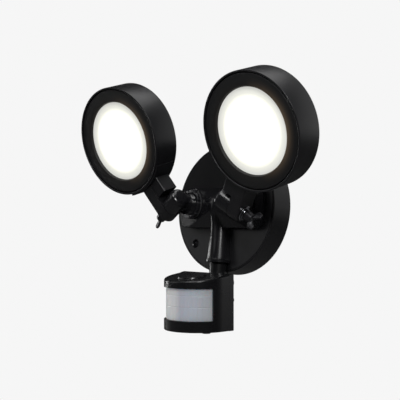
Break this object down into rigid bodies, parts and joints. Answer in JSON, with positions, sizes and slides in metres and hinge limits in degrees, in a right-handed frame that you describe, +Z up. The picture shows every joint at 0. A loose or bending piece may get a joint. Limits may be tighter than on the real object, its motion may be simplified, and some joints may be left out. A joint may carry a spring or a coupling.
{
  "type": "motion sensor security light",
  "caption": "Wall-mounted security light with round tilting LED heads on lap-jointed swivel arms and a motion sensor hanging from a tapered stem.",
  "frame": {"origin": "centre of the canopy's back, on the wall", "axes": "+Z up, +Y into the wall, the heads face -Y, +X to the right seen from the front"},
  "size_m": [0.2676, 0.1037, 0.229],
  "materials": {
    "black_coat": "satin black powder coat on die-cast aluminium",
    "black_screw": "black coated steel",
    "black_nut": "black coated zinc",
    "zinc_steel": "zinc plated",
    "rubber": "matte",
    "driver_case": "moulded",
    "terminal_nylon": "moulded",
    "frosted_diffuser": "frosted, lit from inside",
    "white_reflector": "moulded",
    "white_board": "solder mask",
    "black_plastic": "moulded, semi-gloss",
    "milky_lens": "thin milky polyethylene",
    "green_board": "solder mask"
  },
  "bodies": {
    "wall_body": {"canopy": "black_coat", "wall_gasket": "rubber", "mounting_strap": "zinc_steel", "canopy_screw_left": "black_screw", "canopy_screw_right": "black_screw", "led_driver": "driver_case", "terminal_block": "terminal_nylon", "arm_base": "black_coat", "base_screw_left": "zinc_steel", "base_screw_right": "zinc_steel", "base_screw_top": "zinc_steel", "lock_nut_left": "black_nut", "lock_nut_right": "black_nut", "nipple_seal_left": "rubber", "nipple_seal_right": "rubber"},
    "arm_left": {"arm_left": "black_coat"},
    "head_left": {"head_housing_left": "black_coat", "bezel_left": "black_coat", "diffuser_left": "frosted_diffuser", "head_gasket_left": "rubber", "reflector_left": "white_reflector", "led_board_left": "white_board", "head_bracket_left": "black_coat", "flat_washer_left": "zinc_steel", "spring_washer_left": "zinc_steel"},
    "wing_left": {"wing_screw_left": "black_screw"},
    "arm_right": {"arm_right": "black_coat"},
    "head_right": {"head_housing_right": "black_coat", "bezel_right": "black_coat", "diffuser_right": "frosted_diffuser", "head_gasket_right": "rubber", "reflector_right": "white_reflector", "led_board_right": "white_board", "head_bracket_right": "black_coat", "flat_washer_right": "zinc_steel", "spring_washer_right": "zinc_steel"},
    "wing_right": {"wing_screw_right": "black_screw"},
    "neck": {"sensor_neck": "black_plastic"},
    "sensor": {"sensor_shell": "black_plastic", "fresnel_lens": "milky_lens", "sensor_board": "green_board", "sensor_cover": "black_plastic", "hinge_bolt": "black_screw", "hinge_nut": "zinc_steel", "cover_screw_left": "black_screw", "cover_screw_right": "black_screw"},
    "dial_time": {"dial_time": "black_plastic"},
    "dial_sense": {"dial_sense": "black_plastic"}
  },
  "joints": [
    {"name": "swivel_left", "type": "hinge", "parent": "wall_body", "child": "arm_left", "pos_m": [-0.033, -0.05264, 0.00239], "axis": [-0.2168, -0.9762, 0], "range_deg": [-15, 60]},
    {"name": "tilt_left", "type": "hinge", "parent": "arm_left", "child": "head_left", "pos_m": [-0.03916, -0.05127, -0.00137], "axis": [0.8387, -0.1863, 0.5118], "range_deg": [-20, 45]},
    {"name": "wing_left_turn", "type": "hinge", "parent": "head_left", "child": "wing_left", "pos_m": [-0.03916, -0.05127, -0.00137], "axis": [-0.8387, 0.1863, -0.5118], "range_deg": [-180, 180]},
    {"name": "swivel_right", "type": "hinge", "parent": "wall_body", "child": "arm_right", "pos_m": [0.033, -0.05264, 0.00239], "axis": [-0.2168, 0.9762, 0], "range_deg": [-15, 60]},
    {"name": "tilt_right", "type": "hinge", "parent": "arm_right", "child": "head_right", "pos_m": [0.03916, -0.05127, -0.00137], "axis": [0.8387, 0.1863, -0.5118], "range_deg": [-20, 45]},
    {"name": "wing_right_turn", "type": "hinge", "parent": "head_right", "child": "wing_right", "pos_m": [0.03916, -0.05127, -0.00137], "axis": [0.8387, 0.1863, -0.5118], "range_deg": [-180, 180]},
    {"name": "sensor_swivel", "type": "hinge", "parent": "wall_body", "child": "neck", "pos_m": [0, -0.024, -0.0503], "axis": [0, 0, 1], "range_deg": [-60, 60]},
    {"name": "sensor_tilt", "type": "hinge", "parent": "neck", "child": "sensor", "pos_m": [0, -0.024, -0.0685], "axis": [1, 0, 0], "range_deg": [-10, 20]},
    {"name": "dial_time_turn", "type": "hinge", "parent": "sensor", "child": "dial_time", "pos_m": [-0.008, -0.04348, -0.11136], "axis": [0, 0.0958, -0.9954], "range_deg": [-135, 135]},
    {"name": "dial_sense_turn", "type": "hinge", "parent": "sensor", "child": "dial_sense", "pos_m": [0.008, -0.04348, -0.11136], "axis": [0, 0.0958, -0.9954], "range_deg": [-135, 135]}
  ]
}
